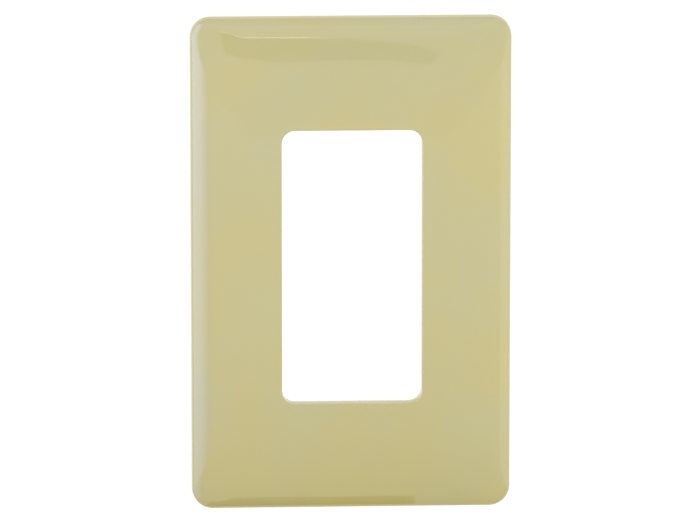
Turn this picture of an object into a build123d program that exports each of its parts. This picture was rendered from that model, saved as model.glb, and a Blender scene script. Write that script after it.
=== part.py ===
"""Screwless wall plate: a clip-on front cover over a mounting frame held by two captive screws.

Units are millimetres. X runs to the right, Z up, and the front of the plate faces -Y. The origin
is the middle of the device opening, on the wall plane. A height here is a distance from the wall
plane towards the front, so a point at height h lies at y = -h.
"""

from build123d import *
from math import cos, radians, sin, tan
import os

WALL = Plane.XZ  # its normal points to the front, so a height is an offset of this plane
SIDES = (1, -1)
cut_past = 1.0  # how far a cut runs beyond the piece that it cuts

# Cover, outside
cover_width = 77.5
cover_height = 120.6
cover_depth = 8.2
corner_radius = 5.0
rim_gap = 0.2  # from the wall plane to the rim
straight_side = 2.2  # height at which the side starts to roll over
side_draft = 0.12  # how far the straight side leans in
crown_power = 2.2  # 2 is an ellipse; more keeps the field flatter
field_inset = 3.0  # the crown levels out this far inside the opening's edge
corner_sweep = 7.0  # extra corner radius half way up the crown, so that it turns the corners smoothly
crown_steps = 14

# Cover, walls and details
side_wall = 1.9
front_wall = 1.7
opening_width = 33.8
opening_height = 67.0
opening_radius = 3.2
lip_radius = 0.5
lip_steps = 4
skirt_wall = 1.2
skirt_foot = 3.6
rib_wall = 0.9
rib_foot = 4.9
side_rib_rows = (-42.0, -21.0, 0.0, 21.0, 42.0)
end_rib_columns = (-22.0, 22.0)
pry_notch = (10.0, 1.1)  # width, and height from the wall plane

# Mounting frame
frame_width = 71.4
frame_height = 114.0
frame_radius = 4.0
frame_front = 3.0
web_back = 1.5
flange = 2.2
window_gap = 0.4  # from the cover's skirt to the window ring
ring_wall = 1.2
ring_front = 4.6
strap_half_width = 23.5  # the device's strap lies between the ribs
back_rib_rows = (-50.0, -40.5, -13.5, 0.0, 13.5, 40.5, 50.0)
back_rib_front = 2.0  # inside the web

# Captive screws, 6-32 thread
strap_thickness = 1.3
screw_spacing = 96.84
thread_pitch = 0.79375
thread_radius = 1.75
neck_radius = 1.45
head_radius = 2.95
head_dome = 0.15
countersink_angle = 82.0
slot_width = 0.9
slot_depth = 0.85
screw_end = -11.0  # height of the tip, behind the wall plane
tip_chamfer = 0.6
seat_bore_radius = 1.9
seat_floor = 1.45
boss_size = (12.4, 11.6)
boss_radius = 2.0
running_gap = 0.05
retainer_size = 7.0
retainer_thickness = 0.6
retainer_side_gap = 0.15
retainer_corner = 0.8

# Latches: a tongue that runs along Z from its root, with a hook near its end
pivot_x = 34.2
pivot_z = 22.0
root_radius = 1.1
tongue_length = 16.0
tongue_thickness = 1.6
tongue_back = 0.4
tongue_room = 1.6  # free space on the tongue's inner side
mouth_height = 0.6  # how far beyond the pivot the slot opens out
end_gap = 0.7
hook_length = 5.0
hook_tip_x = 36.45
hook_tip_heights = (2.0, 2.3)
catch_tip_x = 36.0
catch_tip_heights = (0.9, 1.3)
catch_length = 7.0
catch_root_x = 37.2  # inside the side wall

# Derived sizes and heights
inner_width = cover_width - 2 * side_wall
inner_height = cover_height - 2 * side_wall
inner_depth = cover_depth - front_wall
inner_radius = corner_radius - side_wall
skirt_width = opening_width + 2 * skirt_wall
skirt_height = opening_height + 2 * skirt_wall
skirt_radius = opening_radius + skirt_wall
window_width = skirt_width + 2 * window_gap
window_height = skirt_height + 2 * window_gap
window_radius = skirt_radius + window_gap
back_rib_length = frame_width / 2 - flange / 2 - strap_half_width  # they end inside the flange
back_rib_middle_x = strap_half_width + back_rib_length / 2
pocket_size = retainer_size + 2 * retainer_side_gap
retainer_back = strap_thickness + running_gap
seat_back = retainer_back + retainer_thickness + thread_pitch + running_gap
seat_front = seat_back + seat_floor
dome_radius = (head_radius**2 + head_dome**2) / (2 * head_dome)
cone_depth = (head_radius - neck_radius) / tan(radians(countersink_angle / 2))
screw_heights = (screw_spacing / 2, -screw_spacing / 2)
hook_z = pivot_z + tongue_length - hook_length / 2
lip_share = field_inset / ((cover_width - opening_width) / 2 - side_draft + field_inset)
lip_height = straight_side + (cover_depth - straight_side) * (1 - lip_share**crown_power) ** (1 / crown_power)
slot_inner_x = pivot_x - tongue_thickness / 2 - tongue_room
slot_outer_x = frame_width / 2 + cut_past
slot_width_x = slot_outer_x - slot_inner_x
slot_middle_x = (slot_inner_x + slot_outer_x) / 2
slot_length_z = tongue_length + end_gap - mouth_height
slot_middle_z = pivot_z + mouth_height + slot_length_z / 2
tongue_face_x = pivot_x + tongue_thickness / 2
catch_run = catch_root_x - catch_tip_x
hook_run = hook_tip_x - tongue_face_x
catch_profile = (
    (catch_root_x, catch_tip_heights[0] - catch_run),
    (catch_tip_x, catch_tip_heights[0]),
    (catch_tip_x, catch_tip_heights[1]),
    (catch_root_x, catch_tip_heights[1] + catch_run),
)
hook_profile = (
    (pivot_x, hook_tip_heights[0] - hook_run),
    (tongue_face_x, hook_tip_heights[0] - hook_run),
    (hook_tip_x, hook_tip_heights[0]),
    (hook_tip_x, hook_tip_heights[1]),
    (hook_tip_x - frame_front + hook_tip_heights[1], frame_front),
    (pivot_x, frame_front),
)


def crown_sections(width, height, depth, radius):
    """Give the crown's sections as (height, width, height along Z, corner radius)."""
    field_width = opening_width - 2 * field_inset
    field_height = opening_height - 2 * field_inset
    profile = [(rim_gap, 1.0, 0.0), ((rim_gap + straight_side) / 2, 1.0, side_draft / 2)]
    for step in range(crown_steps + 1):
        angle = radians(90 * step / crown_steps)
        rise = straight_side + (depth - straight_side) * sin(angle) ** (2 / crown_power)
        profile.append((rise, abs(cos(angle)) ** (2 / crown_power), side_draft))
    for rise, reach, lean in profile:
        yield (
            rise,
            field_width + (width - 2 * lean - field_width) * reach,
            field_height + (height - 2 * lean - field_height) * reach,
            opening_radius + (radius - opening_radius) * reach + corner_sweep * 4 * reach * (1 - reach),
        )


# The space inside the cover, less what stands in it: skirt, ribs and catches
with BuildPart() as cavity:
    for rise, width, height, radius in crown_sections(inner_width, inner_height, inner_depth, inner_radius):
        with BuildSketch(WALL.offset(rise)):
            RectangleRounded(width, height, radius)
    loft(ruled=True)
    with BuildSketch(WALL.offset(skirt_foot)):
        RectangleRounded(skirt_width, skirt_height, skirt_radius)
    extrude(amount=cover_depth, mode=Mode.SUBTRACT)
    with BuildSketch(WALL.offset(rib_foot)):
        with Locations(*[(0, row) for row in side_rib_rows]):
            Rectangle(cover_width, rib_wall)
        with Locations(*[(column, 0) for column in end_rib_columns]):
            Rectangle(rib_wall, cover_height)
    extrude(amount=cover_depth, mode=Mode.SUBTRACT)
    for side in SIDES:
        for end in SIDES:
            with BuildSketch(Plane.XY.offset(end * hook_z)):
                with BuildLine():
                    Polyline(*[(side * x, -rise) for x, rise in catch_profile], close=True)
                make_face()
            extrude(amount=catch_length / 2, both=True, mode=Mode.SUBTRACT)

# Cover: crowned shell with a rounded lip round the device opening
with BuildPart() as cover:
    for rise, width, height, radius in crown_sections(cover_width, cover_height, cover_depth, corner_radius):
        with BuildSketch(WALL.offset(rise)):
            RectangleRounded(width, height, radius)
    loft(ruled=True)
    add(cavity.part, mode=Mode.SUBTRACT)
    with BuildSketch(WALL):
        RectangleRounded(opening_width, opening_height, opening_radius)
    extrude(amount=cover_depth + cut_past, mode=Mode.SUBTRACT)
    for step in range(lip_steps + 2):
        angle = radians(90 * min(step / lip_steps, 1))
        spread = lip_radius * (1 - cos(angle))
        rise = lip_height - lip_radius * (1 - sin(angle)) + (cover_depth if step > lip_steps else 0)
        with BuildSketch(WALL.offset(rise)):
            RectangleRounded(opening_width + 2 * spread, opening_height + 2 * spread, opening_radius + spread)
    loft(ruled=True, mode=Mode.SUBTRACT)
    with BuildSketch(WALL):
        with Locations((0, -cover_height / 2)):
            Rectangle(pry_notch[0], 2 * (side_wall + cut_past))
    extrude(amount=pry_notch[1], mode=Mode.SUBTRACT)
cover.part.label = "cover"

# Mounting frame: flanged plate with a ring round its window, screw seats and latch seats
with BuildPart() as mounting_frame:
    with BuildSketch(WALL):
        RectangleRounded(frame_width, frame_height, frame_radius)
    extrude(amount=frame_front)
    with BuildSketch(WALL):
        RectangleRounded(frame_width - 2 * flange, frame_height - 2 * flange, frame_radius - flange)
    extrude(amount=web_back, mode=Mode.SUBTRACT)
    with BuildSketch(WALL):
        for side in SIDES:
            with Locations(*[(side * back_rib_middle_x, row) for row in back_rib_rows]):
                Rectangle(back_rib_length, rib_wall)
    extrude(amount=back_rib_front)
    with BuildSketch(WALL.offset(web_back)):
        RectangleRounded(
            window_width + 2 * ring_wall, window_height + 2 * ring_wall, window_radius + ring_wall
        )
    extrude(amount=ring_front - web_back)
    with BuildSketch(WALL):
        RectangleRounded(window_width, window_height, window_radius)
    extrude(amount=cover_depth, mode=Mode.SUBTRACT)
    # screw seats, each with a square pocket behind it for the retainer
    with BuildSketch(WALL.offset(web_back)):
        with Locations(*[(0, height) for height in screw_heights]):
            RectangleRounded(*boss_size, boss_radius)
    extrude(amount=seat_front - web_back)
    with BuildSketch(WALL):
        with Locations(*[(0, height) for height in screw_heights]):
            RectangleRounded(pocket_size, pocket_size, retainer_corner)
    extrude(amount=seat_back, mode=Mode.SUBTRACT)
    with Locations(WALL.offset(seat_front)):
        with Locations(*[(0, height) for height in screw_heights]):
            CounterSinkHole(seat_bore_radius, head_radius + running_gap, cover_depth, countersink_angle)
    # latch seats: a round socket for the root and a slot that the tongue moves in
    with BuildSketch(WALL):
        with Locations(*[(side * pivot_x, end * pivot_z) for side in SIDES for end in SIDES]):
            Circle(root_radius + running_gap)
    extrude(amount=cover_depth, mode=Mode.SUBTRACT)
    with BuildSketch(WALL):
        with Locations(*[(side * slot_middle_x, end * slot_middle_z) for side in SIDES for end in SIDES]):
            Rectangle(slot_width_x, slot_length_z)
    extrude(amount=cover_depth, mode=Mode.SUBTRACT)
mounting_frame.part.label = "mounting_frame"

# Latches: the first is upper right, and the others mirror it
with BuildPart() as latch_upper_right:
    with BuildSketch(WALL.offset(tongue_back)):
        with Locations((pivot_x, pivot_z)):
            Circle(root_radius)
        with Locations((pivot_x, pivot_z + tongue_length / 2)):
            Rectangle(tongue_thickness, tongue_length)
    extrude(amount=frame_front - tongue_back)
    with BuildSketch(Plane.XY.offset(hook_z)):
        with BuildLine():
            Polyline(*[(x, -rise) for x, rise in hook_profile], close=True)
        make_face()
    extrude(amount=hook_length / 2, both=True)
with BuildPart() as latch_upper_left:
    mirror(latch_upper_right.part, about=Plane.YZ)
with BuildPart() as latch_lower_right:
    mirror(latch_upper_right.part, about=Plane.XY)
with BuildPart() as latch_lower_left:
    mirror(latch_upper_left.part, about=Plane.XY)
latch_upper_right.part.label = "latch_upper_right"
latch_upper_left.part.label = "latch_upper_left"
latch_lower_right.part.label = "latch_lower_right"
latch_lower_left.part.label = "latch_lower_left"

# Captive screws: countersunk slotted head, reduced neck for the retainer, plain thread cylinder
with BuildPart() as upper_screw:
    with BuildSketch(Plane.XY.offset(screw_spacing / 2)):
        with BuildLine():
            RadiusArc((head_radius, -seat_front), (0, -seat_front - head_dome), dome_radius)
            Polyline(
                (0, -seat_front - head_dome),
                (0, -screw_end),
                (thread_radius - tip_chamfer, -screw_end),
                (thread_radius, -screw_end - tip_chamfer),
                (thread_radius, -strap_thickness),
                (neck_radius, -strap_thickness),
                (neck_radius, -seat_front + cone_depth),
                (head_radius, -seat_front),
            )
        make_face()
    revolve(axis=Axis((0, 0, screw_spacing / 2), (0, 1, 0)))
    with BuildSketch(WALL.offset(seat_front + head_dome - slot_depth)):
        with Locations((0, screw_spacing / 2)):
            Rectangle(slot_width, 2 * (head_radius + cut_past))
    extrude(amount=slot_depth + cut_past, mode=Mode.SUBTRACT)
with BuildPart() as lower_screw:
    mirror(upper_screw.part, about=Plane.XY)
upper_screw.part.label = "upper_screw"
lower_screw.part.label = "lower_screw"

# Retainers: square washers on the screws' necks, which keep the screws in the frame
with BuildPart() as upper_retainer:
    with BuildSketch(WALL.offset(retainer_back)):
        with Locations((0, screw_spacing / 2)):
            RectangleRounded(retainer_size, retainer_size, retainer_corner)
            Circle(neck_radius + running_gap, mode=Mode.SUBTRACT)
    extrude(amount=retainer_thickness)
with BuildPart() as lower_retainer:
    mirror(upper_retainer.part, about=Plane.XY)
upper_retainer.part.label = "upper_retainer"
lower_retainer.part.label = "lower_retainer"

os.makedirs("parts", exist_ok=True)
export_step(cover.part, "parts/cover.step")
export_step(mounting_frame.part, "parts/mounting_frame.step")
export_step(latch_upper_right.part, "parts/latch_upper_right.step")
export_step(latch_upper_left.part, "parts/latch_upper_left.step")
export_step(latch_lower_right.part, "parts/latch_lower_right.step")
export_step(latch_lower_left.part, "parts/latch_lower_left.step")
export_step(upper_screw.part, "parts/upper_screw.step")
export_step(lower_screw.part, "parts/lower_screw.step")
export_step(upper_retainer.part, "parts/upper_retainer.step")
export_step(lower_retainer.part, "parts/lower_retainer.step")
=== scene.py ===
"""Screwless wall plate in glossy ivory plastic, over its mounting frame with latches and captive screws.

Every length is in metres. X runs to the right, Z up, and the front of the plate faces -Y. A height
is a distance from the wall plane towards the front, so a point at height h lies at y = -h.
"""

import math

import bmesh
import bpy
from mathutils import Matrix, Vector


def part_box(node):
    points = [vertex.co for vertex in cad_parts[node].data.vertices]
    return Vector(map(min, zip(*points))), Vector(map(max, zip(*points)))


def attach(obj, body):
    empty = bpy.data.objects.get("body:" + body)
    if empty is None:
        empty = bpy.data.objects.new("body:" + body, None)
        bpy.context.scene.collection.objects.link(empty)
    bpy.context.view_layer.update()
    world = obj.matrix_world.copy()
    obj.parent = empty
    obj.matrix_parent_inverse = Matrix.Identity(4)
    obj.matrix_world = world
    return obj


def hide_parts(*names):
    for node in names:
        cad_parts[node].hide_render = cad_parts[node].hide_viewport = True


bl_info = {
    "name": "Screwless Wall Plate",
    "version": (1, 0, 0),
    "blender": (4, 5, 0),
    "location": "View3D > Sidebar > Wall Plate",
    "description": "Builds a crowned screwless wall plate with its mounting frame and captive screws",
    "category": "Object",
}

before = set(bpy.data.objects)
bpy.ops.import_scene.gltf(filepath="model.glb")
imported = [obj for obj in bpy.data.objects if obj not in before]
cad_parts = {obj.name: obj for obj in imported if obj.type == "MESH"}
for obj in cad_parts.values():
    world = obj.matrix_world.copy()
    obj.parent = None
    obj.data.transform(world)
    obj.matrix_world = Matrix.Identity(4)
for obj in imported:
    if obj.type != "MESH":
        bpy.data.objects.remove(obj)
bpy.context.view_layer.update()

MM = 0.001
COVER_LOW, COVER_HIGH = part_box("cover")
SCREW_LOW, SCREW_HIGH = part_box("upper_screw")


def length(name, description, default):
    """A length property in metres."""
    return bpy.props.FloatProperty(
        name=name, description=description, default=default, unit="LENGTH", precision=6
    )


def amount(name, description, default):
    """A plain number property."""
    return bpy.props.FloatProperty(name=name, description=description, default=default)


def count(name, description, default):
    """A whole number property."""
    return bpy.props.IntProperty(name=name, description=description, default=default)


def turn(name, description, default):
    """An angle property, given in degrees."""
    return bpy.props.FloatProperty(
        name=name, description=description, default=math.radians(default), subtype="ANGLE"
    )


def colour(name, description, default):
    """A linear colour property."""
    return bpy.props.FloatVectorProperty(
        name=name, description=description, default=default, size=3, min=0, max=1, subtype="COLOR"
    )


class CoverSettings(bpy.types.PropertyGroup):
    """Sizes of the crowned cover. Its outline and height come from the frame."""

    corner_radius: length("Corner radius", "Radius of the outline's corners at the rim", 5.0 * MM)
    straight_side: length("Straight side", "Height at which the side starts to roll over", 2.2 * MM)
    side_draft: length("Side draft", "How far the straight side leans in", 0.12 * MM)
    crown_power: amount("Crown power", "2 is an ellipse; more keeps the field flatter", 2.2)
    corner_sweep: length("Corner sweep", "Extra corner radius half way up the crown", 7.0 * MM)
    crown_depth: length("Crown depth", "Height at which the crown would level out", 8.2 * MM)
    side_wall: length("Side wall", "Thickness of the sides", 1.9 * MM)
    front_wall: length("Front wall", "Thickness of the front", 1.7 * MM)
    opening_width: length("Opening width", "Width of the device opening", 33.8 * MM)
    opening_height: length("Opening height", "Height of the device opening", 67.0 * MM)
    opening_radius: length("Opening radius", "Radius of the opening's corners", 3.2 * MM)
    lip_radius: length("Lip radius", "Rounding of the opening's front edge", 0.5 * MM)
    skirt_wall: length("Skirt wall", "Thickness of the skirt round the opening", 1.2 * MM)
    skirt_foot: length("Skirt foot", "Height at which the skirt ends", 3.6 * MM)
    rim_round: length("Rim rounding", "Rounding of the rim and the skirt's foot", 0.2 * MM)
    root_fillet: length("Root fillet", "Fillet where the skirt meets the front wall", 0.4 * MM)
    rib_wall: length("Rib wall", "Thickness of the ribs inside the cover", 0.9 * MM)
    rib_foot: length("Rib foot", "Height at which the ribs start", 4.9 * MM)
    notch_width: length("Pry notch width", "Width of the notch in the bottom edge", 10.0 * MM)
    notch_top: length("Pry notch top", "Height of the notch's inner face", 1.1 * MM)
    crown_rows: count("Crown rows", "Mesh rows over the crown", 44)
    corner_columns: count("Corner columns", "Mesh columns round one corner", 18)


class ScrewSettings(bpy.types.PropertyGroup):
    """Sizes of the captive screws."""

    pitch: length("Pitch", "Travel of one turn of the thread", 0.79375 * MM)
    thread_radius: length("Thread radius", "Outer radius of the thread", 1.75 * MM)
    root_radius: length("Thread root radius", "Radius at the bottom of the thread", 1.32 * MM)
    neck_radius: length("Neck radius", "Radius of the plain neck that the retainer sits on", 1.45 * MM)
    thread_start: length("Thread start", "Height at which the thread starts", 1.3 * MM)
    head_radius: length("Head radius", "Radius of the countersunk head", 2.95 * MM)
    head_dome: length("Head dome", "How far the head's middle stands above its edge", 0.15 * MM)
    head_angle: turn("Head angle", "Full angle of the countersunk head", 82)
    slot_width: length("Slot width", "Width of the driver slot", 0.9 * MM)
    slot_depth: length("Slot depth", "Depth of the driver slot", 0.85 * MM)
    tip_chamfer: length("Tip chamfer", "Chamfer at the screw's end", 0.6 * MM)
    rows_per_pitch: count("Rows per pitch", "Mesh rows for one turn of the thread", 14)
    columns: count("Columns", "Mesh columns round the screw", 56)


class FinishSettings(bpy.types.PropertyGroup):
    """Colours of the finishes."""

    ivory: colour("Ivory", "Colour of the glossy cover", (0.625, 0.558, 0.25))
    frame_ivory: colour("Frame ivory", "Colour of the moulded mounting frame", (0.62, 0.575, 0.31))
    zinc: colour("Zinc", "Colour of the plated screws", (0.56, 0.57, 0.58))
    nylon: colour("Nylon", "Colour of the retainers", (0.80, 0.79, 0.72))


class StageSettings(bpy.types.PropertyGroup):
    """Camera, lights and surroundings."""

    camera_distance: length("Camera distance", "From the middle of the plate", 1.508)
    camera_above: turn("Camera above", "Elevation of the camera", 10.81)
    camera_left: turn("Camera left", "How far the camera stands to the left", 2.9)
    view_width: length("View width", "Width of the view at the plate", 169.4 * MM)
    aim_left: length("Aim left", "How far left of the origin the camera aims", 0.12 * MM)
    aim_up: length("Aim up", "How far above the origin the camera aims", 0.07 * MM)
    floor_height: length("Floor height", "Height of the floor", -1.3)
    backdrop_distance: length("Backdrop distance", "From the plate to the backdrop", 2.0)
    ambient: amount("Ambient", "Light from all round", 0.78)
    backdrop_level: amount("Backdrop level", "Brightness behind the object", 1.05)
    box_distance: length("Box distance", "From the plate to the soft boxes", 1.2)
    card_distance: length("Card distance", "From the wall plane to the cards in front", 0.5)
    cool_light: colour("Cool light", "Colour of the soft boxes above and on the left", (0.5, 0.55, 1.0))
    warm_light: colour("Warm light", "Colour of the soft box on the right", (1.0, 0.98, 0.85))


# ---------------------------------------------------------------- meshes


def rounded_outline(half_x, half_z, radius, across, along, corner_columns):
    """Points (x, z) round a rounded rectangle, anticlockwise from the bottom side.

    across and along hold where the points on the straight stretches lie, from -1 to 1.
    """
    flat_x, flat_z = half_x - radius, half_z - radius
    points = []

    def corner(centre_x, centre_z, start):
        for column in range(1, corner_columns):
            angle = start + math.pi / 2 * column / corner_columns
            points.append((centre_x + radius * math.cos(angle), centre_z + radius * math.sin(angle)))

    points += [(t * flat_x, -half_z) for t in across]
    corner(flat_x, -flat_z, -math.pi / 2)
    points += [(half_x, t * flat_z) for t in along]
    corner(flat_x, flat_z, 0)
    points += [(-t * flat_x, half_z) for t in across]
    corner(-flat_x, flat_z, math.pi / 2)
    points += [(-half_x, -t * flat_z) for t in along]
    corner(-flat_x, -flat_z, math.pi)
    return points


def skin_rings(mesh, rings, closed=False):
    """Faces between neighbouring rings of points, and from the last to the first if closed."""
    verts = [[mesh.verts.new(point) for point in ring] for ring in rings]
    pairs = list(zip(verts, verts[1:]))
    if closed:
        pairs.append((verts[-1], verts[0]))
    for low, high in pairs:
        for column in range(len(low)):
            following = (column + 1) % len(low)
            mesh.faces.new((low[column], low[following], high[following], high[column]))
    return verts


def cap_ring(mesh, ring, centre):
    """A fan that closes a ring of vertices."""
    middle = mesh.verts.new(centre)
    for column in range(len(ring)):
        mesh.faces.new((ring[column], ring[(column + 1) % len(ring)], middle))


def add_prism(mesh, sections):
    """A closed solid through sections that all have the same number of points."""
    verts = skin_rings(mesh, sections)
    mesh.faces.new(verts[0])
    mesh.faces.new(verts[-1])


def object_from(mesh, name, material, sharp_angle=math.radians(35)):
    """Turn a bmesh into an object with smooth faces and sharp edges past an angle."""
    bmesh.ops.recalc_face_normals(mesh, faces=mesh.faces)
    data = bpy.data.meshes.new(name)
    mesh.to_mesh(data)
    mesh.free()
    for face in data.polygons:
        face.use_smooth = True
    data.set_sharp_from_angle(angle=sharp_angle)
    data.materials.append(material)
    piece = bpy.data.objects.new(name, data)
    bpy.context.scene.collection.objects.link(piece)
    return piece


def apply_modifiers(piece):
    """Replace a piece's mesh by its evaluated mesh."""
    graph = bpy.context.evaluated_depsgraph_get()
    finished = bpy.data.meshes.new_from_object(piece.evaluated_get(graph))
    piece.modifiers.clear()
    piece.data = finished


def join_solids(piece, tool, operation, sharp_angle=math.radians(35)):
    """Unite a piece with a tool, or cut the tool out of it, and remove the tool."""
    joint = piece.modifiers.new("joint", "BOOLEAN")
    joint.operation = operation
    joint.solver = "EXACT"
    joint.use_self = operation == "UNION"
    joint.object = tool
    apply_modifiers(piece)
    piece.data.set_sharp_from_angle(angle=sharp_angle)
    bpy.data.objects.remove(tool)


def place(piece, body, slot, *nodes):
    """Attach a piece to the empty of its body and hide the nodes it stands for. The slot is not used."""
    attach(piece, body)
    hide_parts(*nodes)


def soften(node, material, width):
    """Give a carried-over node rounded edges and its material."""
    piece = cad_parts[node]
    piece.data.materials.clear()
    piece.data.materials.append(material)
    for face in piece.data.polygons:
        face.use_smooth = True
    weld = piece.modifiers.new("weld", "WELD")
    weld.merge_threshold = 0.002 * MM
    planar = piece.modifiers.new("planar", "DECIMATE")
    planar.decimate_type = "DISSOLVE"
    planar.angle_limit = math.radians(1.0)
    bevel = piece.modifiers.new("edges", "BEVEL")
    bevel.width = width
    bevel.segments = 2
    bevel.limit_method = "ANGLE"
    bevel.angle_limit = math.radians(40)
    bevel.use_clamp_overlap = True
    bevel.harden_normals = True
    normals = piece.modifiers.new("normals", "WEIGHTED_NORMAL")
    normals.keep_sharp = True
    return piece


# ---------------------------------------------------------------- cover

# Where the outer crown meets the lip and the inner one the skirt, from 1 at the edge down to 0.
OUTER_REACH = 0.13
INNER_REACH = 0.19

# Mesh steps round the small roundings of the shell.
RIM_STEPS = 4
LIP_STEPS = 6
FOOT_STEPS = 3

# Shares of the way along the shell's straight stretches that get a row of mesh.
SIDE_ROWS = (0.35, 0.7)
SKIRT_ROWS = (0.3, 0.6)
INSIDE_ROWS = (0.4, 0.8)

# Cross ribs run out from the skirt, and one long rib runs down each side.
CROSS_RIB_PLACES = [step * 21 * MM for step in range(-2, 3)]
CROSS_RIB_END = 33 * MM
LONG_RIB_PLACE = 22 * MM
LONG_RIB_END = 54 * MM
LONG_RIB_STEPS = 48
LONG_RIB_STEP_BACK = 0.2 * MM
SKIRT_OVERLAP = 0.3 * MM
WALL_OVERLAP = 0.5 * MM
EDGE_BEVEL = 0.15 * MM

PIN_MARK_RADIUS = 2.0 * MM
PIN_MARK_PROUD = 0.12 * MM
PIN_MARK_BEVEL = 0.05 * MM
PIN_MARK_COLUMNS = 32
PIN_MARK_X = 27 * MM
PIN_MARK_PLACES = [place_z * MM for place_z in (-48.5, -10.5, 10.5, 48.5)]

# Each catch is a wedge whose tip is level between two heights.
CATCH_TIP_X = 36.0 * MM
CATCH_ROOT_X = 37.2 * MM
CATCH_TIP_LOW = 0.9 * MM
CATCH_TIP_HIGH = 1.3 * MM
CATCH_HALF_LENGTH = 3.5 * MM
CATCH_PLACE = 35.5 * MM

# Columns across the short sides up to the pry notch, from the corner at -1 to the middle at 0.
OUTER_COLUMNS = [-1, -0.8, -0.6, -0.4, -0.25]
INNER_COLUMN = -0.07
LONG_SIDE_COLUMNS = 9
NOTCH_END_WALL = 0.4 * MM
NOTCH_CLEARANCE = 0.1 * MM


class Crown:
    """The cover's crown: how an outline shrinks and rises from its straight side to its field."""

    def __init__(self, half_x, half_z, radius, depth, straight, power, inner, reach, sweep):
        """inner is the (half x, half z, radius) of the outline where the crown has come in to reach.

        sweep is the extra corner radius half way between the edge and that outline.
        """
        self.edge = (half_x, half_z, radius)
        self.field = tuple((i - e * reach) / (1 - reach) for i, e in zip(inner, self.edge))
        self.depth, self.straight, self.power, self.reach = depth, straight, power, reach
        self.sweep = sweep

    def height(self, reach):
        """Height where the outline has shrunk to reach, from 1 at the edge to 0."""
        share = max(0.0, 1 - reach**self.power) ** (1 / self.power)
        return self.straight + (self.depth - self.straight) * share

    def outline(self, reach):
        """(half x, half z, radius) of the outline at reach."""
        half_x, half_z, radius = (f + (e - f) * reach for f, e in zip(self.field, self.edge))
        share = (reach - self.reach) / (1 - self.reach)
        return half_x, half_z, radius + self.sweep * 4 * share * (1 - share)

    def height_over(self, x, z):
        """Height over a point, away from the corners."""
        reaches = [(abs(v) - f) / (e - f) for v, f, e in zip((x, z), self.field, self.edge)]
        return self.height(min(1.0, max(0.0, *reaches)))

    def rows(self, steps):
        """Rows (height, half x, half z, radius) from the edge inwards, evenly spread round the crown."""
        last = math.acos(self.reach ** (self.power / 2))
        for step in range(steps + 1):
            reach = math.cos(last * step / steps) ** (2 / self.power)
            yield (self.height(reach), *self.outline(reach))


def cover_crowns(size):
    """The outer crown and the crown of the hollow inside it."""
    half_x, half_z = COVER_HIGH.x - size.side_draft, COVER_HIGH.z - size.side_draft
    lip = size.lip_radius
    opening = (size.opening_width / 2, size.opening_height / 2, size.opening_radius)
    outer = Crown(
        half_x, half_z, size.corner_radius, size.crown_depth, size.straight_side, size.crown_power,
        [v + lip for v in opening], OUTER_REACH, size.corner_sweep,
    )
    inset = size.skirt_wall + size.root_fillet
    inner = Crown(
        half_x - size.side_wall, half_z - size.side_wall, size.corner_radius - size.side_wall,
        size.crown_depth - size.front_wall, size.straight_side, size.crown_power,
        [v + inset for v in opening], INNER_REACH, size.corner_sweep,
    )
    return outer, inner, opening


def quarter(steps, start=1):
    """(sine, cosine) pairs over a quarter turn, from its start to its end."""
    for step in range(start, steps + 1):
        angle = math.pi / 2 * step / steps
        yield math.sin(angle), math.cos(angle)


def cover_rows(size, outer, inner, opening):
    """Rows (height, half x, half z, radius) round the shell's section, from the rim and back to it."""
    rim, edge = -COVER_HIGH.y, size.rim_round
    lip, foot, fillet = size.lip_radius, size.skirt_foot, size.root_fillet

    def grown(outline, by):
        return tuple(v + by for v in outline)

    rows = []
    draft = size.side_draft
    side = grown(outer.edge[:2], draft) + (size.corner_radius,)
    for sine, cosine in quarter(RIM_STEPS, start=0):
        rows.append((rim + edge * (1 - cosine), *grown(side, -edge * (1 - sine))))
    for share in SIDE_ROWS:
        height = rim + edge + (size.straight_side - rim - edge) * share
        rows.append((height, side[0] - draft * share, side[1] - draft * share, side[2]))
    rows += list(outer.rows(size.crown_rows))
    top = rows[-1][0]
    for sine, cosine in quarter(LIP_STEPS):
        rows.append((top - lip * (1 - cosine), *grown(opening, lip * (1 - sine))))
    for share in SKIRT_ROWS:
        rows.append((top - lip - (top - lip - foot - edge) * share, *opening))
    for sine, cosine in quarter(FOOT_STEPS, start=0):
        rows.append((foot + edge * (1 - sine), *grown(opening, edge * (1 - cosine))))
    outside = grown(opening, size.skirt_wall)
    for sine, cosine in quarter(FOOT_STEPS, start=0):
        rows.append((foot + edge * (1 - cosine), *grown(outside, -edge * (1 - sine))))
    ceiling = inner.height(inner.reach)
    rows.append(((foot + ceiling) / 2, *outside))
    for sine, cosine in quarter(FOOT_STEPS, start=0):
        ends_on_crown = cosine < 0.01
        if not ends_on_crown:
            rows.append((ceiling - fillet * (1 - sine), *grown(outside, fillet * (1 - cosine))))
    rows += reversed(list(inner.rows(size.crown_rows // 2)))
    inside = inner.edge
    for share in INSIDE_ROWS:
        height = size.straight_side - (size.straight_side - rim - edge) * share
        rows.append((height, *inside))
    for sine, cosine in quarter(FOOT_STEPS):
        rows.append((rim + edge * (1 - sine), *grown(inside, edge * (1 - cosine))))
    return rows


def cut_notch(mesh, size):
    """Raise the rim in the middle of the bottom side, for a screwdriver to pry the cover off."""
    rim, top = -COVER_HIGH.y, size.straight_side
    lift = (top - size.notch_top) / (top - rim)
    for vert in mesh.verts:
        inside = abs(vert.co.x) < size.notch_width / 2 - NOTCH_CLEARANCE
        if inside and vert.co.z < COVER_LOW.z + 2 * size.side_wall and -vert.co.y < top:
            vert.co.y = -(size.notch_top + (-vert.co.y - rim) * lift)


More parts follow.
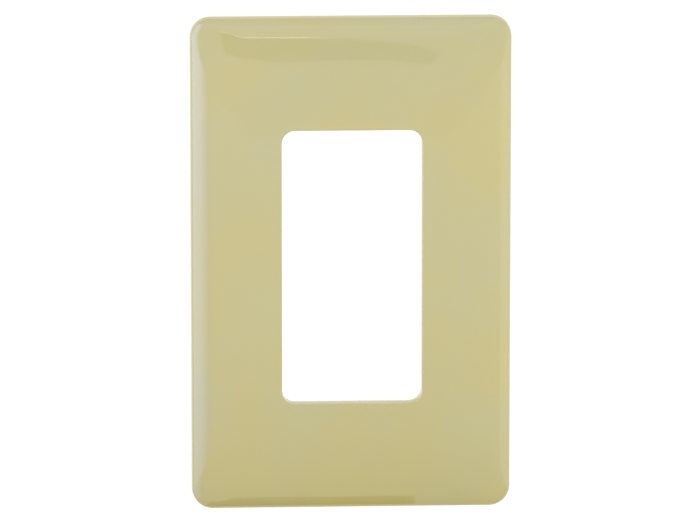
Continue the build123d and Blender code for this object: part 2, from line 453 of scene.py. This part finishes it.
def add_rib(mesh, size, crown, start, end, step_back, steps=16):
    """A rib under the front wall, from one point (x, z) to another.

    step_back lifts its foot, so that ribs that cross have no faces in one plane.
    """
    direction = Vector((end[0] - start[0], 0, end[1] - start[1])).normalized()
    sideways = Vector((direction.z, 0, -direction.x)) * (size.rib_wall / 2)
    foot = size.rib_foot + step_back
    inwards = sideways * (1 - 2 * EDGE_BEVEL / size.rib_wall)
    sections = []
    for step in range(steps + 1):
        x, z = (a + (b - a) * step / steps for a, b in zip(start, end))
        top = max(crown.height_over(x, z), foot) + WALL_OVERLAP
        place_at = Vector((x, 0, z))
        sections.append([
            place_at + sideways + Vector((0, -top, 0)),
            place_at + sideways + Vector((0, -foot - EDGE_BEVEL, 0)),
            place_at + inwards + Vector((0, -foot, 0)),
            place_at - inwards + Vector((0, -foot, 0)),
            place_at - sideways + Vector((0, -foot - EDGE_BEVEL, 0)),
            place_at - sideways + Vector((0, -top, 0)),
        ])
    add_prism(mesh, sections)


def add_catch(mesh, side, middle_z):
    """A wedge on the side wall that a latch hook holds."""
    run = CATCH_ROOT_X - CATCH_TIP_X
    profile = (
        (CATCH_ROOT_X, CATCH_TIP_LOW - run),
        (CATCH_TIP_X, CATCH_TIP_LOW),
        (CATCH_TIP_X, CATCH_TIP_HIGH),
        (CATCH_ROOT_X, CATCH_TIP_HIGH + run),
    )
    end, flat_end = CATCH_HALF_LENGTH, CATCH_HALF_LENGTH - EDGE_BEVEL
    sections = []
    for z, drop in ((-end, EDGE_BEVEL), (-flat_end, 0), (flat_end, 0), (end, EDGE_BEVEL)):
        sections.append([
            (side * (x + (drop if x < CATCH_ROOT_X else 0)), -height, middle_z + z)
            for x, height in profile
        ])
    add_prism(mesh, sections)


def add_pin_mark(mesh, crown, x, z):
    """The round mark of an ejector pin on the inside of the front wall."""
    beyond_x = crown.height_over(abs(x) + PIN_MARK_RADIUS, abs(z))
    beyond_z = crown.height_over(abs(x), abs(z) + PIN_MARK_RADIUS)
    foot = min(beyond_x, beyond_z) - PIN_MARK_PROUD
    angles = [2 * math.pi * column / PIN_MARK_COLUMNS for column in range(PIN_MARK_COLUMNS)]
    sections = []
    for height, radius in (
        (crown.height_over(x, z) + WALL_OVERLAP, PIN_MARK_RADIUS),
        (foot + PIN_MARK_BEVEL, PIN_MARK_RADIUS),
        (foot, PIN_MARK_RADIUS - PIN_MARK_BEVEL),
    ):
        sections.append([(x + radius * math.cos(a), -height, z + radius * math.sin(a)) for a in angles])
    add_prism(mesh, sections)


def shell_columns(size):
    """Where the mesh columns lie along the short and the long sides, from -1 to 1."""
    notch = size.notch_width / 2 / (COVER_HIGH.x - size.corner_radius)
    end_wall = notch * (1 - NOTCH_END_WALL / size.notch_width)
    left = OUTER_COLUMNS + [-notch, -end_wall, INNER_COLUMN]
    across = left + [0] + [-t for t in reversed(left)]
    along = [t / LONG_SIDE_COLUMNS for t in range(-LONG_SIDE_COLUMNS, LONG_SIDE_COLUMNS + 1)]
    return across, along


def add_cover_details(mesh, size, crown, opening):
    """The ribs, pin marks and catches inside the cover."""
    skirt_x = opening[0] + size.skirt_wall - SKIRT_OVERLAP
    skirt_z = opening[1] + size.skirt_wall - SKIRT_OVERLAP
    for side in (-1, 1):
        for z in CROSS_RIB_PLACES:
            start_x = skirt_x if abs(z) < skirt_z else 0
            add_rib(mesh, size, crown, (side * start_x, z), (side * CROSS_RIB_END, z), 0)
        long_x = side * LONG_RIB_PLACE
        ends = (long_x, -LONG_RIB_END), (long_x, LONG_RIB_END)
        add_rib(mesh, size, crown, *ends, LONG_RIB_STEP_BACK, LONG_RIB_STEPS)
        for z in PIN_MARK_PLACES:
            add_pin_mark(mesh, crown, side * PIN_MARK_X, z)
        for end in (-1, 1):
            add_catch(mesh, side, end * CATCH_PLACE)


class PLATE_OT_cover(bpy.types.Operator):
    """Build the crowned cover with its skirt, ribs and catches"""

    bl_idname = "plate.cover"
    bl_label = "Cover"

    def execute(self, context):
        size = context.scene.plate_cover
        outer, inner, opening = cover_crowns(size)
        across, along = shell_columns(size)
        ivory = gloss_ivory(context.scene.plate_finish)
        shell = bmesh.new()
        rings = []
        for height, half_x, half_z, radius in cover_rows(size, outer, inner, opening):
            outline = rounded_outline(half_x, half_z, radius, across, along, size.corner_columns)
            rings.append([(x, -height, z) for x, z in outline])
        skin_rings(shell, rings, closed=True)
        cut_notch(shell, size)
        cover = object_from(shell, "cover_shell", ivory)
        details = bmesh.new()
        add_cover_details(details, size, inner, opening)
        join_solids(cover, object_from(details, "cover_details", ivory), "UNION")
        place(cover, "cover", "cover_plastic", "cover")
        return {"FINISHED"}


# ---------------------------------------------------------------- screws

# The dome ends just inside the head's edge, which lies a little deeper.
HEAD_STEPS = 6
DOME_SHARE = 0.985
HEAD_EDGE = 0.04 * MM
# The neck tapers over a short length to the thread's root, which starts a little thicker.
NECK_TAPER = 0.05 * MM
ROOT_START_EXTRA = 0.1 * MM
# Half the width of the thread's crest, as a share of the pitch.
CREST_HALF = 0.1
THREAD_SHARP_ANGLE = math.radians(40)
SLOT_CUTTER_HEIGHT = 2 * MM


def screw_rows(size):
    """Rows (y, radius, thread share) down the screw, from the head's edge to its tip."""
    top = -SCREW_LOW.y - size.head_dome
    tip = SCREW_HIGH.y
    cone = (size.head_radius - size.neck_radius) / math.tan(size.head_angle / 2)
    rows = []
    for step in range(1, HEAD_STEPS + 1):
        share = step / HEAD_STEPS
        rise = size.head_dome * (1 - share**2)
        rows.append((-top - rise, size.head_radius * share * DOME_SHARE, 0))
    rows.append((-top + HEAD_EDGE, size.head_radius, 0))
    rows.append((-top + cone, size.neck_radius, 0))
    first = -size.thread_start
    rows.append((first - NECK_TAPER, size.neck_radius, 0))
    rows.append((first, size.root_radius + ROOT_START_EXTRA, 0))
    count_rows = round((tip - first) / size.pitch * size.rows_per_pitch)
    for step in range(1, count_rows + 1):
        y = first + (tip - first) * step / count_rows
        start_share = min(1, (y - first) / size.pitch)
        limit = size.thread_radius - max(0, y - (tip - size.tip_chamfer))
        rows.append((y, limit, start_share))
    return rows


def add_screw(mesh, size, z):
    """A countersunk screw with a right-hand thread, its axis along Y at height z."""
    depth = size.thread_radius - size.root_radius
    rings = []
    for y, radius, share in screw_rows(size):
        ring = []
        for column in range(size.columns):
            angle = 2 * math.pi * column / size.columns
            here = radius
            if share > 0:
                phase = (y / size.pitch - column / size.columns) % 1
                crest = min(1.0, (0.5 - abs(phase - 0.5)) / (0.5 - CREST_HALF))
                here = min(radius, size.root_radius + depth * crest * share)
            ring.append((here * math.sin(angle), y, z + here * math.cos(angle)))
        rings.append(ring)
    verts = skin_rings(mesh, rings)
    cap_ring(mesh, verts[0], (0, SCREW_LOW.y, z))
    cap_ring(mesh, verts[-1], (0, SCREW_HIGH.y, z))


def add_slot_cutter(mesh, size, z):
    """A block that cuts the driver slot across the head of the screw at height z."""
    half_width, half_length = size.slot_width / 2, 2 * size.head_radius
    floor = SCREW_LOW.y + size.slot_depth
    sections = []
    for y in (floor - SLOT_CUTTER_HEIGHT, floor):
        sections.append([
            (-half_width, y, z - half_length),
            (half_width, y, z - half_length),
            (half_width, y, z + half_length),
            (-half_width, y, z + half_length),
        ])
    add_prism(mesh, sections)


class PLATE_OT_screws(bpy.types.Operator):
    """Build the two captive screws with slotted heads and real threads"""

    bl_idname = "plate.screws"
    bl_label = "Captive screws"

    def execute(self, context):
        size = context.scene.plate_screw
        zinc = plated_steel(context.scene.plate_finish)
        middle = (SCREW_LOW.z + SCREW_HIGH.z) / 2
        for name, z in (("upper_screw", middle), ("lower_screw", -middle)):
            body = bmesh.new()
            add_screw(body, size, z)
            screw = object_from(body, name + "_thread", zinc, THREAD_SHARP_ANGLE)
            slot = bmesh.new()
            add_slot_cutter(slot, size, z)
            cutter = object_from(slot, name + "_cutter", zinc)
            join_solids(screw, cutter, "DIFFERENCE", THREAD_SHARP_ANGLE)
            place(screw, name, "screw_steel", name)
        return {"FINISHED"}


# ---------------------------------------------------------------- frame and retainers

# Rounding of the carried-over pieces' edges.
FRAME_EDGE = 0.15 * MM
LATCH_EDGE = 0.12 * MM
RETAINER_EDGE = 0.08 * MM


class PLATE_OT_frame(bpy.types.Operator):
    """Finish the mounting frame and its latches"""

    bl_idname = "plate.frame"
    bl_label = "Mounting frame and latches"

    def execute(self, context):
        satin = satin_ivory(context.scene.plate_finish)
        soften("mounting_frame", satin, FRAME_EDGE)
        for end in ("upper", "lower"):
            for side in ("left", "right"):
                soften(f"latch_{end}_{side}", satin, LATCH_EDGE)
        return {"FINISHED"}


class PLATE_OT_retainers(bpy.types.Operator):
    """Finish the two nylon retainers"""

    bl_idname = "plate.retainers"
    bl_label = "Retainers"

    def execute(self, context):
        nylon = natural_nylon(context.scene.plate_finish)
        for end in ("upper", "lower"):
            soften(f"{end}_retainer", nylon, RETAINER_EDGE)
        return {"FINISHED"}


# ---------------------------------------------------------------- materials


def new_group(name, inputs, outputs):
    """An empty shader node group with named sockets."""
    group = bpy.data.node_groups.new(name, "ShaderNodeTree")
    for label, kind, value in inputs:
        socket = group.interface.new_socket(label, in_out="INPUT", socket_type=kind)
        socket.default_value = value
    for label, kind in outputs:
        group.interface.new_socket(label, in_out="OUTPUT", socket_type=kind)
    return group, group.nodes.new("NodeGroupInput"), group.nodes.new("NodeGroupOutput")


def moulding_group():
    """Colour drift and surface ripple of a moulded plastic piece, shared by all the plastics."""
    if "moulded_surface" in bpy.data.node_groups:
        return bpy.data.node_groups["moulded_surface"]
    group, given, out = new_group(
        "moulded_surface",
        [
            ("Colour", "NodeSocketColor", (0.5, 0.5, 0.5, 1)),
            ("Drift", "NodeSocketFloat", 0.04),
            ("Cloud Colour", "NodeSocketColor", (0.5, 0.5, 0.5, 1)),
            ("Cloud Share", "NodeSocketFloat", 0.0),
            ("Roughness", "NodeSocketFloat", 0.2),
            ("Roughness Drift", "NodeSocketFloat", 0.05),
            ("Grain Scale", "NodeSocketFloat", 4000.0),
            ("Grain Depth", "NodeSocketFloat", 0.2),
            ("Ripple Depth", "NodeSocketFloat", 0.5),
        ],
        [("Colour", "NodeSocketColor"), ("Roughness", "NodeSocketFloat"), ("Height", "NodeSocketFloat")],
    )
    nodes, links = group.nodes, group.links
    where = nodes.new("ShaderNodeTexCoord")

    def noise(scale, detail):
        node = nodes.new("ShaderNodeTexNoise")
        node.inputs["Scale"].default_value = scale
        node.inputs["Detail"].default_value = detail
        links.new(where.outputs["Object"], node.inputs["Vector"])
        return node

    def maths(operation, first, second):
        node = nodes.new("ShaderNodeMath")
        node.operation = operation
        for socket, value in zip(node.inputs, (first, second)):
            if isinstance(value, (int, float)):
                socket.default_value = value
            else:
                links.new(value, socket)
        return node.outputs[0]

    clouds = noise(28.0, 2.0)
    centred = maths("SUBTRACT", clouds.outputs["Fac"], 0.5)
    shade = maths("ADD", 1.0, maths("MULTIPLY", centred, given.outputs["Drift"]))
    banks = noise(45.0, 3.0)
    bank_edges = nodes.new("ShaderNodeMapRange")
    bank_edges.inputs["From Min"].default_value = 0.4
    bank_edges.inputs["From Max"].default_value = 0.65
    links.new(banks.outputs["Fac"], bank_edges.inputs["Value"])
    cloud_share = maths("MULTIPLY", bank_edges.outputs["Result"], given.outputs["Cloud Share"])
    blend = nodes.new("ShaderNodeMix")
    blend.data_type = "RGBA"
    links.new(cloud_share, blend.inputs["Factor"])
    links.new(given.outputs["Colour"], blend.inputs["A"])
    links.new(given.outputs["Cloud Colour"], blend.inputs["B"])
    tint = nodes.new("ShaderNodeVectorMath")
    tint.operation = "SCALE"
    links.new(blend.outputs["Result"], tint.inputs[0])
    links.new(shade, tint.inputs["Scale"])
    links.new(tint.outputs[0], out.inputs["Colour"])
    smudges = noise(90.0, 4.0)
    off_middle = maths("SUBTRACT", smudges.outputs["Fac"], 0.5)
    rough = maths("MULTIPLY", off_middle, given.outputs["Roughness Drift"])
    links.new(maths("ADD", given.outputs["Roughness"], rough), out.inputs["Roughness"])
    grain = noise(1.0, 2.0)
    links.new(given.outputs["Grain Scale"], grain.inputs["Scale"])
    ripple = noise(55.0, 1.0)
    height = maths(
        "ADD",
        maths("MULTIPLY", grain.outputs["Fac"], given.outputs["Grain Depth"]),
        maths("MULTIPLY", ripple.outputs["Fac"], given.outputs["Ripple Depth"]),
    )
    links.new(height, out.inputs["Height"])
    return group


def plastic(name, tint, roughness, values, bump_distance, bump_strength):
    """A moulded plastic. values go to the inputs of the shared surface group."""
    if name in bpy.data.materials:
        return bpy.data.materials[name]
    material = bpy.data.materials.new(name)
    material.use_nodes = True
    nodes, links = material.node_tree.nodes, material.node_tree.links
    shader = nodes["Principled BSDF"]
    surface = nodes.new("ShaderNodeGroup")
    surface.node_tree = moulding_group()
    surface.inputs["Colour"].default_value = (*tint, 1)
    surface.inputs["Roughness"].default_value = roughness
    for label, value in values.items():
        surface.inputs[label].default_value = value
    bump = nodes.new("ShaderNodeBump")
    bump.inputs["Distance"].default_value = bump_distance
    bump.inputs["Strength"].default_value = bump_strength
    links.new(surface.outputs["Colour"], shader.inputs["Base Color"])
    links.new(surface.outputs["Roughness"], shader.inputs["Roughness"])
    links.new(surface.outputs["Height"], bump.inputs["Height"])
    links.new(bump.outputs["Normal"], shader.inputs["Normal"])
    shader.inputs["IOR"].default_value = 1.52
    return material


def gloss_ivory(finish):
    """Glossy ivory plastic of the cover."""
    values = {
        "Drift": 0.03, "Cloud Colour": (0.585, 0.56, 0.31, 1), "Cloud Share": 0.6,
        "Roughness Drift": 0.04, "Grain Scale": 2500.0, "Grain Depth": 0.05,
        "Ripple Depth": 1.0,
    }
    return plastic("gloss_ivory", finish.ivory, 0.06, values, 0.02 * MM, 0.35)


def satin_ivory(finish):
    """Satin ivory plastic of the mounting frame and the latches, with a spark-eroded grain."""
    values = {
        "Drift": 0.08, "Roughness Drift": 0.12, "Grain Scale": 5000.0, "Grain Depth": 1.0,
        "Ripple Depth": 0.3,
    }
    return plastic("satin_ivory", finish.frame_ivory, 0.42, values, 0.02 * MM, 0.6)


def natural_nylon(finish):
    """Natural nylon of the retainers."""
    values = {
        "Drift": 0.06, "Roughness Drift": 0.1, "Grain Scale": 3500.0, "Grain Depth": 0.6,
        "Ripple Depth": 0.3,
    }
    return plastic("natural_nylon", finish.nylon, 0.38, values, 0.02 * MM, 0.4)


def plated_steel(finish):
    """Bright zinc-plated steel of the screws."""
    if "plated_steel" in bpy.data.materials:
        return bpy.data.materials["plated_steel"]
    material = plastic("plated_steel", finish.zinc, 0.26, {
        "Drift": 0.25, "Roughness Drift": 0.2, "Grain Scale": 6000.0, "Grain Depth": 0.5,
        "Ripple Depth": 0.2,
    }, 0.01 * MM, 0.5)
    material.node_tree.nodes["Principled BSDF"].inputs["Metallic"].default_value = 1.0
    return material


def plain_light(name, tint, strength):
    """A material that gives an even light."""
    material = bpy.data.materials.new(name)
    material.use_nodes = True
    shader = material.node_tree.nodes["Principled BSDF"]
    shader.inputs["Base Color"].default_value = (0, 0, 0, 1)
    shader.inputs["Specular IOR Level"].default_value = 0
    shader.inputs["Emission Color"].default_value = (*tint, 1)
    shader.inputs["Emission Strength"].default_value = strength
    return material


def graded_light(name, tint, dark, bright, sideways, upright, low_share):
    """A light that grows from dark to bright along Y and along Z.

    sideways and upright are the (start, end) of the growth on each axis. At its foot the light
    has low_share of its growth already.
    """
    material = plain_light(name, tint, bright)
    nodes, links = material.node_tree.nodes, material.node_tree.links
    where = nodes.new("ShaderNodeTexCoord")
    axes = nodes.new("ShaderNodeSeparateXYZ")
    links.new(where.outputs["Object"], axes.inputs[0])
    shares = []
    for axis, (start, end), least in (("Y", sideways, 0.0), ("Z", upright, low_share)):
        grade = nodes.new("ShaderNodeMapRange")
        grade.interpolation_type = "SMOOTHSTEP"
        for label, value in (("From Min", start), ("From Max", end), ("To Min", least)):
            grade.inputs[label].default_value = value
        links.new(axes.outputs[axis], grade.inputs["Value"])
        shares.append(grade.outputs["Result"])
    both = nodes.new("ShaderNodeMath")
    both.operation = "MULTIPLY"
    for share, socket in zip(shares, both.inputs):
        links.new(share, socket)
    level = nodes.new("ShaderNodeMapRange")
    level.inputs["To Min"].default_value = dark
    level.inputs["To Max"].default_value = bright
    links.new(both.outputs[0], level.inputs["Value"])
    links.new(level.outputs["Result"], nodes["Principled BSDF"].inputs["Emission Strength"])
    return material


# ---------------------------------------------------------------- stage


# The floor and backdrop are squares with sides this long.
FLOOR_SIDE = 17
BACKDROP_SIDE = 6

# Soft boxes: name, degrees to the left, degrees above, (width, height), radiance, warm or not.
SOFT_BOXES = (
    ("high_box", 0, 65, (1.6, 0.8), 0.22, False),
    ("top_box", 0, 42, (1.6, 0.44), 0.25, False),
    ("front_box", 12, -2, (0.9, 0.45), 0.08, False),
    ("left_box", 74, 0, (0.85, 1.5), 0.22, False),
    ("right_box", -74, 0, (0.75, 1.4), 0.55, True),
)

# The black flag in front of the plate and above it, with a wavy lower edge and a rounded top right.
FLAG_LEFT, FLAG_RIGHT, FLAG_TOP = -0.125, 0.058, 0.302
FLAG_ROUND_X, FLAG_ROUND_Z, FLAG_STEPS = 0.060, 0.190, 12
FLAG_LOWER_EDGE = (
    (FLAG_LEFT, 0.108), (-0.067, 0.101), (-0.030, 0.118), (0.0, 0.133),
    (0.026, 0.139), (0.038, 0.136), (0.045, 0.122), (FLAG_RIGHT, 0.116),
)

# Flat cards. Two numbers are the ends of a side, and one number is where the card stands.
STRIP_X, STRIP_Z = (FLAG_LEFT, 0.016), (FLAG_TOP, FLAG_TOP + 0.018)
BACK_X, BACK_Y, BACK_Z = (-0.8, 0.8), 1.0, (0.05, 0.6)
UNDER_FLAG_X, UNDER_FLAG_Y, UNDER_FLAG_Z = (-0.05, 0.018), (-0.033, 0), -0.1
SHADE_X, SHADE_Y, SHADE_Z = (-0.1, 0.1), (-0.07, 0.06), -0.085

# The upright card on the left, between two directions from the front.
LEFT_CARD_NEAR, LEFT_CARD_FAR = math.radians(38), math.radians(104)
LEFT_CARD_Z = (-0.45, 0.5)
LEFT_CARD_LIGHT = (0.5, 0.56, 1.0)
LEFT_CARD_LEVELS = (1.25, 5.6)
LEFT_CARD_GROWTH_Y, LEFT_CARD_GROWTH_Z = (-0.41, -0.2), (-0.25, 0.05)
LEFT_CARD_LOW_SHARE = 0.4


def look_from(spot, aim=Vector()):
    """The matrix of a thing at spot + aim that looks at aim."""
    return Matrix.Translation(spot + aim) @ spot.to_track_quat("Z", "Y").to_matrix().to_4x4()


def stage_plane(name, side, place_at, facing, material):
    """A square sheet of the stage that faces a point."""
    data = bpy.data.meshes.new(name)
    half = side / 2
    corners = [(-half, -half, 0), (half, -half, 0), (half, half, 0), (-half, half, 0)]
    data.from_pydata(corners, [], [(0, 1, 2, 3)])
    data.materials.append(material)
    sheet = bpy.data.objects.new(name, data)
    bpy.context.scene.collection.objects.link(sheet)
    turned = (Vector(facing) - Vector(place_at)).to_track_quat("Z", "Y").to_matrix().to_4x4()
    sheet.matrix_world = Matrix.Translation(place_at) @ turned
    return sheet


def around(distance, left, above):
    """A point at a distance from the origin, left of the front and above it by two angles."""
    return Vector((
        -distance * math.sin(left) * math.cos(above),
        -distance * math.cos(left) * math.cos(above),
        distance * math.sin(above),
    ))


def soft_light(name, distance, left, above, size, radiance, tint):
    """A soft box that faces the plate. left and above are in degrees."""
    data = bpy.data.lights.new(name, "AREA")
    data.shape = "RECTANGLE"
    data.size, data.size_y = size
    data.energy = radiance / tint[0] * math.pi * size[0] * size[1]
    data.color = tint
    lamp = bpy.data.objects.new(name, data)
    bpy.context.scene.collection.objects.link(lamp)
    spot = around(distance, math.radians(left), math.radians(above))
    lamp.matrix_world = look_from(spot)
    lamp.visible_camera = False
    return lamp


def card(name, corners, material):
    """A flat card of the stage that only shows in reflections. corners are points (x, y, z)."""
    data = bpy.data.meshes.new(name)
    data.from_pydata(corners, [], [range(len(corners))])
    data.materials.append(material)
    sheet = bpy.data.objects.new(name, data)
    bpy.context.scene.collection.objects.link(sheet)
    sheet.visible_camera = sheet.visible_diffuse = sheet.visible_shadow = False
    return sheet


def upright_card(name, x, y, z, material):
    """An upright card between two values of x and two of z."""
    (left, right), (low, high) = x, z
    return card(name, [(left, y, low), (right, y, low), (right, y, high), (left, y, high)], material)


def level_card(name, x, y, z, material):
    """A level card between two values of x and two of y."""
    (left, right), (front, back) = x, y
    corners = [(left, front, z), (right, front, z), (right, back, z), (left, back, z)]
    return card(name, corners, material)


def flag_outline(y):
    """Outline of the black flag in front of the plate."""
    outline = [(x, y, z) for x, z in FLAG_LOWER_EDGE]
    for sine, cosine in quarter(FLAG_STEPS, start=0):
        x = FLAG_RIGHT - FLAG_ROUND_X * (1 - cosine)
        outline.append((x, y, FLAG_TOP - FLAG_ROUND_Z * (1 - sine)))
    outline.append((FLAG_LEFT, y, FLAG_TOP))
    return outline


def left_card(distance):
    """The cool card on the left, brighter to the side and towards the top."""
    near, far = around(distance, LEFT_CARD_NEAR, 0), around(distance, LEFT_CARD_FAR, 0)
    low, high = (Vector((0, 0, z)) for z in LEFT_CARD_Z)
    light = graded_light(
        "left_card_light", LEFT_CARD_LIGHT, *LEFT_CARD_LEVELS,
        LEFT_CARD_GROWTH_Y, LEFT_CARD_GROWTH_Z, LEFT_CARD_LOW_SHARE,
    )
    card("left_card", [near + low, far + low, far + high, near + high], light)


def add_camera(stage):
    """The camera, in front of the plate, a little above it and to the left."""
    data = bpy.data.cameras.new("camera")
    data.angle = 2 * math.atan(stage.view_width / 2 / stage.camera_distance)
    camera = bpy.data.objects.new("camera", data)
    bpy.context.scene.collection.objects.link(camera)
    spot = around(stage.camera_distance, stage.camera_left, stage.camera_above)
    camera.matrix_world = look_from(spot, Vector((-stage.aim_left, 0, stage.aim_up)))
    return camera


def studio_world(stage):
    """White where the camera looks past the object, and a softer white all round it."""
    world = bpy.data.worlds.new("studio")
    world.use_nodes = True
    nodes, links = world.node_tree.nodes, world.node_tree.links
    background = nodes["Background"]
    background.inputs["Color"].default_value = (1, 1, 1, 1)
    path = nodes.new("ShaderNodeLightPath")
    level = nodes.new("ShaderNodeMapRange")
    level.inputs["To Min"].default_value = stage.ambient
    level.inputs["To Max"].default_value = stage.backdrop_level
    links.new(path.outputs["Is Camera Ray"], level.inputs["Value"])
    links.new(level.outputs["Result"], background.inputs["Strength"])
    return world


def floor_paint():
    """Pale floor with a faint mottle."""
    material = plain_light("floor_paint", (1, 1, 1), 0.35)
    nodes, links = material.node_tree.nodes, material.node_tree.links
    mottle = nodes.new("ShaderNodeTexNoise")
    mottle.inputs["Scale"].default_value = 6.0
    shade = nodes.new("ShaderNodeMapRange")
    shade.inputs["To Min"].default_value = 0.80
    shade.inputs["To Max"].default_value = 0.84
    links.new(mottle.outputs["Fac"], shade.inputs["Value"])
    links.new(shade.outputs["Result"], nodes["Principled BSDF"].inputs["Base Color"])
    return material


class PLATE_OT_stage(bpy.types.Operator):
    """Set up the floor, soft boxes, cards and camera"""

    bl_idname = "plate.stage"
    bl_label = "Stage"

    def execute(self, context):
        stage = context.scene.plate_stage
        context.scene.world = studio_world(stage)
        context.scene.view_settings.view_transform = "Standard"
        stage_plane("floor", FLOOR_SIDE, (0, 0, stage.floor_height), (0, 0, 1), floor_paint())
        white = plain_light("backdrop_light", (1, 1, 1), stage.backdrop_level)
        stage_plane("backdrop", BACKDROP_SIDE, (0, stage.backdrop_distance, 0), (0, 0, 0), white)

        for name, left, above, size, radiance, warm in SOFT_BOXES:
            tint = stage.warm_light if warm else stage.cool_light
            soft_light(name, stage.box_distance, left, above, size, radiance, tint)

        black = plain_light("black_card", (0, 0, 0), 0)
        front = -stage.card_distance
        card("front_flag", flag_outline(front), black)
        strip_light = plain_light("strip_light", (1, 0.97, 0.85), 4.0)
        upright_card("strip_card", STRIP_X, front, STRIP_Z, strip_light)
        back_light = plain_light("back_card_light", (1, 0.95, 0.84), 0.9)
        upright_card("back_card", BACK_X, BACK_Y, BACK_Z, back_light)
        level_card("under_flag", UNDER_FLAG_X, UNDER_FLAG_Y, UNDER_FLAG_Z, black)
        shade_light = plain_light("shade_light", (1, 0.92, 0.45), 0.62)
        shade = level_card("under_shade", SHADE_X, SHADE_Y, SHADE_Z, shade_light)
        shade.visible_diffuse, shade.visible_glossy = True, False
        left_card(stage.card_distance)

        context.scene.camera = add_camera(stage)
        return {"FINISHED"}


# ---------------------------------------------------------------- add-on


class PLATE_PT_panel(bpy.types.Panel):
    """Shows the wall plate's settings and the buttons of its operators"""

    bl_label = "Wall Plate"
    bl_idname = "PLATE_PT_panel"
    bl_space_type = "VIEW_3D"
    bl_region_type = "UI"
    bl_category = "Wall Plate"

    def draw(self, context):
        for setting in SETTINGS:
            group = getattr(context.scene, setting)
            for name in group.bl_rna.properties.keys():
                if name not in {"rna_type", "name"}:
                    self.layout.prop(group, name)
        for operator in OPERATORS:
            self.layout.operator(operator.bl_idname)


SETTINGS = {
    "plate_cover": CoverSettings,
    "plate_screw": ScrewSettings,
    "plate_finish": FinishSettings,
    "plate_stage": StageSettings,
}
OPERATORS = (PLATE_OT_cover, PLATE_OT_frame, PLATE_OT_screws, PLATE_OT_retainers, PLATE_OT_stage)


def register():
    """Register the settings, operators and panel."""
    for name, group in SETTINGS.items():
        bpy.utils.register_class(group)
        setattr(bpy.types.Scene, name, bpy.props.PointerProperty(type=group))
    for operator in OPERATORS:
        bpy.utils.register_class(operator)
    bpy.utils.register_class(PLATE_PT_panel)


def unregister():
    """Remove what register added."""
    bpy.utils.unregister_class(PLATE_PT_panel)
    for operator in reversed(OPERATORS):
        bpy.utils.unregister_class(operator)
    for name, group in reversed(SETTINGS.items()):
        delattr(bpy.types.Scene, name)
        bpy.utils.unregister_class(group)


def main():
    """Build the whole scene."""
    register()
    bpy.ops.plate.cover()
    bpy.ops.plate.frame()
    bpy.ops.plate.screws()
    bpy.ops.plate.retainers()
    bpy.ops.plate.stage()


if __name__ == "__main__":
    main()
